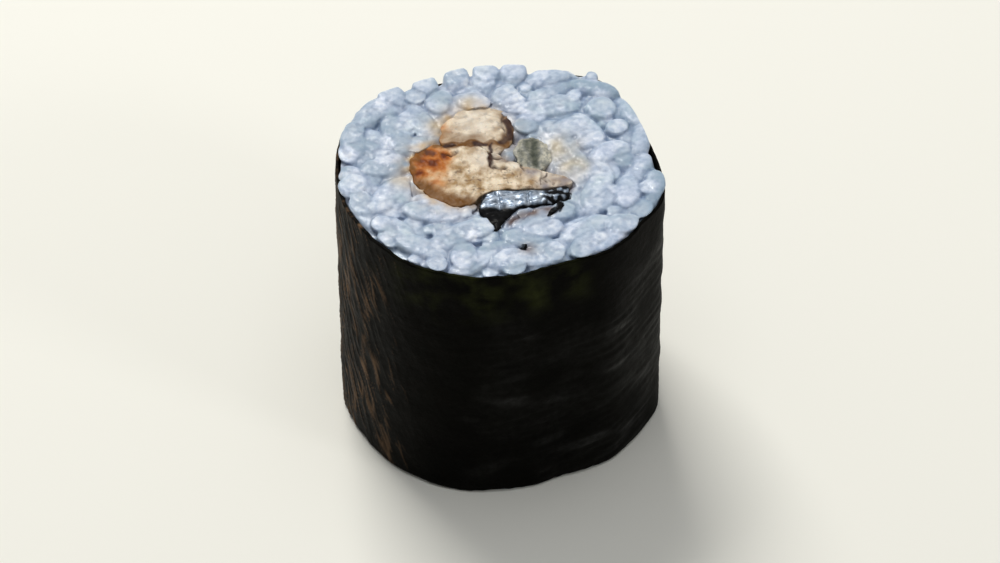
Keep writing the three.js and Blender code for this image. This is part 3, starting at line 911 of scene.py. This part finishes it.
def eel_flesh(name, which, seed, material):
    """A strip of flesh whose cut end shows its flakes and the crumbly ends of its fibres."""
    outline = FLESH[which]
    strip = eel_strip(name, outline, FLESH_TOP, seed)

    def relief(flat):
        seam, crack = seams(flat, which, seed)
        rim = -0.08 * np.exp(-to_rim(flat, outline) / 0.3)
        lumps = 0.035 * waves(flat, 2.6, seed + 5) + 0.012 * waves(flat, 0.9, seed + 6, count=30)
        crumbs = 0.014 * waves(flat, 0.45, seed + 9, count=40) + 0.014 * fibres(flat, which, seed + 10)
        return rim + lumps + crumbs - 0.04 * seam - 0.25 * crack

    with_relief(strip, relief, FLESH_TOP, 0.44)
    points = points_of(strip)
    flat = points[:, :2]
    seam, crack = seams(flat, which, seed)
    mottle = waves(points, 1.2, seed + 7, count=24)
    warm = np.maximum(near(flat, ROASTED), 0.5 * smoothstep(-flat[:, 0], 3.4, 6.4))
    paint(strip, "roast", np.clip(warm * (0.9 + 0.2 * mottle), 0, 1))
    crooked = flat + 0.2 * np.column_stack([waves(flat, 1.4, seed + 11), waves(flat, 1.4, seed + 12)])
    paint(strip, "brown", np.clip(along_lines(crooked, BROWNED) * (0.95 + 0.15 * mottle), 0, 1))
    scorch = along_lines(crooked, CHARRED) * (1 + 0.2 * mottle)
    # Charred lines, plus painted shade in the cracks and, faintly, in the seams between flakes.
    paint(strip, "char_and_crack_shade", np.clip(np.maximum(scorch, crack) + 0.15 * seam, 0, 1))
    paint(strip, "streak", np.clip(0.25 + 0.35 * fibres(flat, which, seed + 10) + 0.6 * seam, 0, 1))
    paint(strip, "pale", np.clip(near(flat, PALE) * (0.9 + 0.2 * mottle), 0, 1))
    # Grey: the flesh's own greyish tint, and at the last two spots painted shade.
    paint(strip, "grey_and_shade", np.clip(near(flat, GREYED_AND_SHADED) * (0.8 + 0.3 * mottle), 0, 1))
    return finished(strip, material, "eel_flesh_" + which)


# Folds across the main skin, and the dark streak down the upper patch of skin.
SKIN_FOLDS = [[(-0.3, -3.2), (0.0, -5.6)], [(2.5, -3.0), (2.7, -5.0)], [(4.6, -2.9), (4.9, -4.6)]]
DARK_STREAK = [(3.2, 4.2), (3.3, 2.8), (3.4, 0.9)]
ALONG_SKIN = np.array([[0.98, -0.17], [0.17, 0.98]])  # turns places so that x runs along the main skin


def main_skin_relief(flat):
    """Skin rolled on itself: crumpled lengthwise, crossed by folds, flatter where it runs out in front."""
    along = flat @ ALONG_SKIN
    crumpled = 0.09 * waves(along / [2.6, 1.0], 1.0, 61) + 0.03 * waves(along / [1.8, 0.8], 0.6, 62)
    rolled = 0.2 * (1 - np.exp(-to_rim(flat, SKIN["main"]) / 0.3)) - 0.12
    folds = 0.16 * sum(np.exp(-((line_gap(flat, fold) / 0.14) ** 2)) for fold in SKIN_FOLDS)
    return rolled + crumpled - folds - 0.05 * smoothstep(-flat[:, 1], 5.0, 6.0)


def main_skin_silver(flat):
    """The belly's silver shows as a broad band along the upper side that breaks up to the right."""
    band = smoothstep(to_rim(flat, SKIN["main"]), 0.0, 0.12) * smoothstep(flat[:, 1], -5.5, -5.0)
    broken = smoothstep(flat[:, 0], 4.6, 3.0) + 0.9 * smoothstep(waves(flat, 0.9, 66), 0.1, 0.5)
    return band * np.clip(broken, 0, 1) * (0.85 + 0.3 * waves(flat, 1.3, 63))


def upper_skin_relief(flat):
    """A thin patch that lies low, a little crumpled and creased along its dark streak."""
    crumpled = 0.04 * waves(flat / [0.8, 2.0], 1.0, 65) + 0.02 * waves(flat, 0.6, 67)
    streak = np.exp(-((line_gap(flat, DARK_STREAK) / 0.28) ** 2))
    rim = 0.14 * np.exp(-to_rim(flat, SKIN["upper"]) / 0.3)
    return crumpled - 0.14 * streak - rim - 0.2


def upper_skin_silver(flat):
    """Grey on the left, a dark streak, then paler towards the right and along the rim."""
    streak = np.exp(-((line_gap(flat, DARK_STREAK) / 0.4) ** 2))
    pale = 0.35 + 0.65 * smoothstep(flat[:, 0], 3.5, 4.2) + 0.2 * waves(flat / [0.8, 1.6], 1.1, 64)
    pale = np.maximum(pale, 0.9 * np.exp(-to_rim(flat, SKIN["upper"]) / 0.3))
    return pale * (1 - 0.9 * streak)


def eel_skin(name, which, relief, silver, seed, material):
    """A strip of skin, shaped at its cut ends and painted where it is silver."""
    strip = eel_strip(name, SKIN[which], SKIN_TOP, seed)
    with_relief(strip, relief, SKIN_TOP, 0.4)
    paint(strip, "silver", np.clip(silver(points_of(strip)[:, :2]), 0, 1))
    return finished(strip, material, "eel_skin_" + which)


# Torn scraps of skin on the rice: x, y, length, width, heading in degrees.
SCRAPS = [
    (4.8, -2.8, 1.0, 0.6, -20),
    (5.6, -3.4, 1.5, 0.7, -35),
    (4.6, -4.3, 0.9, 0.5, 30),
    (5.7, -4.7, 1.6, 0.7, 75),
    (5.0, -5.6, 1.3, 0.6, 50),
    (6.5, -3.4, 0.9, 0.5, 60),
    (2.2, -10.3, 0.9, 0.7, 70),
]
SCRAP_HALF_THICKNESS = 0.12
SCRAP_RISE = 0.07  # a scrap's middle lies this much over the rice
SCRAP_STATIONS = (-0.7, 0, 0.7)  # where along its half length a scrap follows the rice


def rice_heights(rice_body, places):
    """The height of the rice under each place, in mm."""
    above = [Vector((x, y, 2 * ROLL_HEIGHT)) * MM for x, y in places]
    return [rice_body.ray_cast(place, Vector((0, 0, -1)))[1].z / MM for place in above]


def skin_scraps(rice_body, material):
    """Small torn scraps that lie on the grains, as one piece."""
    form, form_faces = unit_ball()
    bpy.context.view_layer.update()
    points, faces = [], []
    for number, (x, y, length, width, heading) in enumerate(SCRAPS):
        turn = np.array(Matrix.Rotation(math.radians(heading), 3, "Z"))
        ends = [turn @ [share * length / 2, 0, 0] for share in SCRAP_STATIONS]
        heights = rice_heights(rice_body, [(x + end[0], y + end[1]) for end in ends])
        torn = form * (1 + 0.28 * waves(form + number * 9.0, 1.3, 91)[:, None])
        cloud = (torn * [length / 2, width / 2, SCRAP_HALF_THICKNESS]) @ turn.T + [x, y, 0]
        cloud[:, 2] += np.interp(form[:, 0], SCRAP_STATIONS, heights) + SCRAP_RISE
        faces.append(form_faces + len(form) * number)
        points.append(cloud)
    scraps = mesh_piece("skin_scraps", np.vstack(points), np.vstack(faces))
    paint(scraps, "silver", np.clip(0.5 * waves(np.vstack(points), 0.8, 92) - 0.1, 0, 1))
    return finished(scraps, material, None)


# ---------------------------------------------------------------- materials

# Which output of a node is used, where that isn't its first one.
OUTPUTS = {"Mix": "Result", "Attribute": "Fac", "TexCoord": "Object"}


def linear(colour):
    """An sRGB hex colour as the linear colour that Blender works with."""
    channels = [int(colour[i : i + 2], 16) / 255 for i in (1, 3, 5)]
    return [c / 12.92 if c <= 0.04045 else ((c + 0.055) / 1.055) ** 2.4 for c in channels] + [1.0]


def new_material(name):
    material = bpy.data.materials.new(name)
    material.use_nodes = True
    tree = material.node_tree
    tree.nodes.clear()
    return material, tree


def add(tree, kind, inputs=None, **settings):
    """Adds a node with its settings and returns its output.

    Each of the inputs is given another node's output, a hex colour or a value.
    """
    node = tree.nodes.new("ShaderNode" + kind)
    for name, value in settings.items():
        setattr(node, name, value)
    for name, given in (inputs or {}).items():
        if isinstance(given, bpy.types.NodeSocket):
            tree.links.new(given, node.inputs[name])
        else:
            node.inputs[name].default_value = linear(given) if isinstance(given, str) else given
    return node.outputs[OUTPUTS.get(kind, 0)] if len(node.outputs) else None


def patches(tree, place, pitch, detail, low, high, least=0.0, most=1.0):
    """Soft patches about pitch mm apart, from least to most as their noise goes from low to high."""
    noise = add(tree, "TexNoise", {"Vector": place, "Scale": 1 / (pitch * MM), "Detail": detail})
    limits = {"From Min": low, "From Max": high, "To Min": least, "To Max": most}
    return add(tree, "MapRange", {"Value": noise, **limits})


def dimples(tree, place, pitch, detail, depth, strength=0.5):
    """A normal for dimples about pitch mm apart and depth mm deep."""
    noise = add(tree, "TexNoise", {"Vector": place, "Scale": 1 / (pitch * MM), "Detail": detail})
    return add(tree, "Bump", {"Height": noise, "Strength": strength, "Distance": depth * MM})


def coated(tree, colour, coats):
    """Colours laid over one another.

    Each coat has the name of the painted number that says where it lies, the values of it between which the
    coat comes in, how much of it shows at most, and its colour.
    """
    for name, low, high, most, coat in coats:
        painted = add(tree, "Attribute", attribute_name=name)
        share = add(tree, "MapRange", {"Value": painted, "From Min": low, "From Max": high, "To Max": most})
        colour = add(tree, "Mix", {"Factor": share, "A": colour, "B": coat}, data_type="RGBA")
    return colour


def surfaced(tree, inputs, **settings):
    """Ends a material with its surface."""
    add(tree, "OutputMaterial", {"Surface": add(tree, "BsdfPrincipled", inputs, **settings)})


def cooked_rice():
    """Cooked short-grain rice: its starch has swollen and gone clear at the rim, and is white in the core."""
    material, tree = new_material("cooked_rice")
    place = add(tree, "TexCoord")
    # Starch is uneven inside a grain, over 0.6 mm. From grain to grain the tone changes over 2.5 to 5 mm.
    starch = patches(tree, place, 0.6, 4.0, 0.36, 0.64)
    rim = add(tree, "Mix", {"Factor": starch, "A": "#9eb0ca", "B": "#c3d0e5"}, data_type="RGBA")
    core = add(tree, "Mix", {"Factor": starch, "A": "#c3cfe3", "B": "#eff4fd"}, data_type="RGBA")
    pearl = coated(tree, rim, [("core", 0.0, 1.0, 1.0, core)])
    cast = patches(tree, place, 5.0, 3.0, 0.35, 0.65)
    tint = add(tree, "Mix", {"Factor": cast, "A": "#b9c0dc", "B": "#b9cfd4"}, data_type="RGBA")
    tinted = patches(tree, place, 2.5, 3.0, 0.4, 0.7, 0.0, 0.45)
    toned = add(tree, "Mix", {"Factor": tinted, "A": pearl, "B": tint}, data_type="RGBA")
    colour = coated(tree, toned, [
        ("glassy", 0.0, 1.0, 0.75, "#879fb2"),
        # Clear starch and painted shade in the creases between grains.
        ("starch_and_crease_shade", 0.0, 1.0, 0.7, "#6b7f9e"),
        ("fat", 0.0, 1.0, 0.85, "#c6b89c"),
        ("glaze", 0.0, 1.0, 1.0, "#c6a980"),
        # Sauce, and painted shade on the rice between the strips.
        ("sauce_and_gap_shade", 0.0, 1.0, 1.0, "#6f5f5c"),
    ])
    # A grain's moist skin has dimples about 0.5 mm apart. Where the knife went it is drier and rougher.
    cut = add(tree, "Attribute", attribute_name="cut")
    moist = add(tree, "MapRange", {"Value": cut, "To Min": 0.26, "To Max": 0.5})
    dryness = patches(tree, place, 1.0, 3.0, 0.35, 0.65, 0.0, 0.15)
    surfaced(tree, {
        "Base Color": colour,
        "Roughness": add(tree, "Math", {0: dryness, 1: moist}, operation="ADD"),
        "Normal": dimples(tree, place, 0.5, 4.0, 0.1),
        "IOR": 1.4,
        "Specular IOR Level": 0.35,
        "Subsurface Weight": 0.5,
        "Subsurface Radius": (1.0, 0.97, 0.93),
        "Subsurface Scale": 0.4 * MM,
        "Coat Weight": 0.2,
        "Coat Roughness": 0.08,
    }, subsurface_method="RANDOM_WALK")
    return material


def toasted_nori():
    """Toasted laver, dried as a pulp on a mat: fronds felted together, green-black, with an oily sheen."""
    material, tree = new_material("toasted_nori")
    place = add(tree, "TexCoord")
    # Fronds lie over one another in patches of about 4 mm, and the pulp is thin in spots about 2 mm apart.
    fronds = patches(tree, place, 4.0, 4.0, 0.0, 1.0)
    black = add(tree, "Mix", {"Factor": fronds, "A": "#020201", "B": "#0a0906"}, data_type="RGBA")
    thin = patches(tree, place, 2.2, 5.0, 0.4, 0.7)
    # Where the pulp is thin, light coming through it is painted in as green.
    shows_green_glow = add(tree, "Attribute", attribute_name="thin_green_glow")
    share = add(tree, "Math", {0: thin, 1: shows_green_glow}, operation="MULTIPLY")
    thin_green_glow = add(tree, "Mix", {"Factor": share, "A": black, "B": "#2b2f14"}, data_type="RGBA")
    # The oil is rubbed off in spots about 0.7 mm apart, and the pulp's fibres lie about 0.25 mm apart.
    oily = patches(tree, place, 0.7, 4.0, 0.3, 0.7, 0.4, 1.0)
    smooth = add(tree, "Attribute", attribute_name="sheen")
    sheen = add(tree, "Math", {0: smooth, 1: oily}, operation="MULTIPLY")
    surfaced(tree, {
        # A painted brown sheen on the ridges of the folds, over the painted green light of the thin spots.
        "Base Color": coated(tree, thin_green_glow, [("painted_fold_sheen", 0.1, 0.8, 0.95, "#775d46")]),
        "Roughness": add(tree, "MapRange", {"Value": sheen, "To Min": 0.6, "To Max": 0.34}),
        "Specular IOR Level": add(tree, "MapRange", {"Value": sheen, "To Min": 0.02, "To Max": 0.45}),
        "Normal": dimples(tree, place, 0.25, 4.0, 0.06, 0.6),
        "IOR": 1.45,
    })
    return material


# How flesh browns with heat: how much of it, and the colour.
BROWNING = [(0.1, "#d8b48a"), (0.4, "#d0955f"), (0.68, "#ae6529"), (0.9, "#85431a"), (1.0, "#662e10")]


def grilled_flesh():
    """Eel flesh, grilled under a sweet soy glaze: cream inside, and brown where heat and glaze met."""
    material, tree = new_material("grilled_eel_flesh")
    place = add(tree, "TexCoord")
    # Bundles of muscle are about 1 mm wide, specks of juice 0.5 mm, and the fibres' cut ends 0.3 mm.
    bundles = patches(tree, place, 1.1, 4.0, 0.36, 0.62)
    cream = add(tree, "Mix", {"Factor": bundles, "A": "#a08158", "B": "#ebdbc2"}, data_type="RGBA")
    streaked = coated(tree, cream, [("streak", 0.3, 1.0, 0.4, "#9c8468")])
    specks = patches(tree, place, 0.5, 2.0, 0.55, 0.68, 0.0, 0.7)
    speckled = add(tree, "Mix", {"Factor": specks, "A": streaked, "B": "#6c5645"}, data_type="RGBA")
    uneven = patches(tree, place, 1.0, 4.0, 0.3, 0.7, -0.2, 0.2)
    roast = add(tree, "Attribute", attribute_name="roast")
    heat = add(tree, "Math", {0: roast, 1: uneven}, operation="ADD")
    toasted = add(tree, "ValToRGB", {"Fac": heat})
    ramp = toasted.node.color_ramp.elements
    while len(ramp) < len(BROWNING):
        ramp.new(1.0)
    for element, (position, colour) in zip(ramp, BROWNING):
        element.position = position
        element.color = linear(colour)
    colour = coated(tree, speckled, [
        ("pale", 0.0, 1.0, 0.75, "#e8e0d3"),
        # Grey, at two spots painted shade.
        ("grey_and_shade", 0.0, 1.0, 0.9, "#8c868c"),
        ("roast", 0.08, 0.5, 1.0, toasted),
        ("brown", 0.0, 1.0, 1.0, "#70491c"),
        # Char, and painted shade in cracks and seams.
        ("char_and_crack_shade", 0.0, 1.0, 1.0, "#3f2b25"),
    ])
    surfaced(tree, {
        "Base Color": colour,
        "Roughness": patches(tree, place, 1.1, 3.0, 0.35, 0.65, 0.45, 0.7),
        "Normal": dimples(tree, place, 0.28, 3.0, 0.05),
        "IOR": 1.42,
        "Specular IOR Level": 0.15,
        "Subsurface Weight": 0.25,
        "Subsurface Radius": (1.0, 0.75, 0.55),
        "Subsurface Scale": 0.35 * MM,
        "Coat Weight": 0.04,
        "Coat Roughness": 0.2,
    }, subsurface_method="RANDOM_WALK")
    return material


def grilled_skin(name, dark, light, mirror, roughness):
    """Skin of a grilled eel, wet with glaze: dark pigment on the back, silver where it turns to the belly."""
    material, tree = new_material(name)
    place = add(tree, "TexCoord")
    # Pigment cells gather in spots about 0.4 mm wide; the skin is finely wrinkled, about 0.5 mm apart.
    spots = patches(tree, place, 0.4, 3.0, 0.4, 0.6)
    back = add(tree, "Mix", {"Factor": spots, "A": dark[0], "B": dark[1]}, data_type="RGBA")
    belly = add(tree, "Mix", {"Factor": spots, "A": light[0], "B": light[1]}, data_type="RGBA")
    silver = add(tree, "Attribute", attribute_name="silver")
    up_to_silver = {"Value": silver, "From Max": 0.6}
    surfaced(tree, {
        "Base Color": coated(tree, back, [("silver", 0.0, 1.0, 1.0, belly)]),
        "Metallic": add(tree, "MapRange", {"Value": silver, "From Min": 0.2, "To Max": mirror}),
        "Roughness": add(tree, "MapRange", {**up_to_silver, "To Min": 0.75, "To Max": roughness}),
        "Specular IOR Level": add(tree, "MapRange", {**up_to_silver, "To Min": 0.1, "To Max": 0.5}),
        "Normal": dimples(tree, place, 0.5, 2.0, 0.06, 0.4),
        "IOR": 1.45,
        "Coat Weight": 0.05,
        "Coat Roughness": 0.15,
    })
    return material


def matt_paper():
    """Matt off-white paper, as a studio's floor."""
    material, tree = new_material("matt_paper")
    surfaced(tree, {"Base Color": "#f3f2ea", "Roughness": 0.9})
    return material


# ---------------------------------------------------------------- studio

CAMERA_ELEVATION = math.radians(45.6)
CAMERA_DISTANCE = 459.7 * MM
ROLL_PIXELS = 428  # what the piece takes of the picture's height
PICTURE_WIDTH = 1000
SENSOR_WIDTH = 36.0
LOOK_DOWN = 0.25  # the picture's middle lies this much under the roll's
FLOOR_REACH = 3.0  # the paper runs this far to each side, in metres

# Soft lights: place and size in metres, power in watts, colour.
LIGHTS = {
    "key_from_behind": ((-0.14, 0.32, 0.52), 0.24, 2.75, "#fffdf8"),
    "overhead": ((0.0, -0.05, 0.7), 0.5, 1.0, "#f6f9ff"),
    "glint": ((0.42, -0.25, 0.30), 0.10, 0.3, "#ffffff"),
}
BACKDROP_COLOUR = "#f4f3ee"
BACKDROP_STRENGTH = 0.25


def aim(thing, target):
    thing.rotation_euler = (Vector(target) - thing.location).to_track_quat("-Z", "Y").to_euler()


def camera(target):
    """The camera, with a lens that shows the piece as high as it is in the picture."""
    seen = (ROLL_HEIGHT * math.cos(CAMERA_ELEVATION) + size_of("nori")[1] * math.sin(CAMERA_ELEVATION)) * MM
    data = bpy.data.cameras.new("camera")
    data.sensor_width = SENSOR_WIDTH
    data.lens = ROLL_PIXELS * CAMERA_DISTANCE / seen / PICTURE_WIDTH * SENSOR_WIDTH
    data.clip_start = 10 * MM
    seer = bpy.data.objects.new("camera", data)
    bpy.context.scene.collection.objects.link(seer)
    back, rise = CAMERA_DISTANCE * math.cos(CAMERA_ELEVATION), CAMERA_DISTANCE * math.sin(CAMERA_ELEVATION)
    seer.location = Vector(target) + Vector((0, -back, rise))
    aim(seer, target)
    bpy.context.scene.camera = seer


def softbox(name, place, size, power, colour, target):
    data = bpy.data.lights.new(name, "AREA")
    data.size = size
    data.energy = power
    data.color = linear(colour)[:3]
    light = bpy.data.objects.new(name, data)
    bpy.context.scene.collection.objects.link(light)
    light.location = place
    aim(light, target)


def studio():
    target = (0, 0, (ROLL_HEIGHT / 2 - LOOK_DOWN) * MM)
    camera(target)
    for name, light in LIGHTS.items():
        softbox(name, *light, target)
    world = bpy.data.worlds.new("studio")
    world.use_nodes = True
    backdrop = world.node_tree.nodes["Background"]
    backdrop.inputs["Color"].default_value = linear(BACKDROP_COLOUR)
    backdrop.inputs["Strength"].default_value = BACKDROP_STRENGTH
    bpy.context.scene.world = world
    corners = [(-1, -1, 0), (1, -1, 0), (1, 1, 0), (-1, 1, 0)]
    floor = mesh_piece("floor", np.array(corners) * FLOOR_REACH, [(0, 1, 2, 3)])
    floor.data.materials.append(matt_paper())
    bpy.context.scene.view_settings.view_transform = "Standard"


# ---------------------------------------------------------------- the piece

flesh_finish = grilled_flesh()
black_skin = grilled_skin("wet_black_skin", ("#050506", "#121214"), ("#74869c", "#c2cfe0"), 0.35, 0.32)
olive_skin = grilled_skin("grey_olive_skin", ("#3b4038", "#50554a"), ("#8c8d85", "#c3beac"), 0.0, 0.5)
nori(toasted_nori())
rice_body = rice(cooked_rice())
eel_flesh("grilled_flesh_main", "main", 71, flesh_finish)
eel_flesh("grilled_flesh_upper", "upper", 81, flesh_finish)
eel_skin("silver_skin_main", "main", main_skin_relief, main_skin_silver, 101, black_skin)
eel_skin("skin_patch_upper", "upper", upper_skin_relief, upper_skin_silver, 111, olive_skin)
skin_scraps(rice_body, black_skin)
studio()
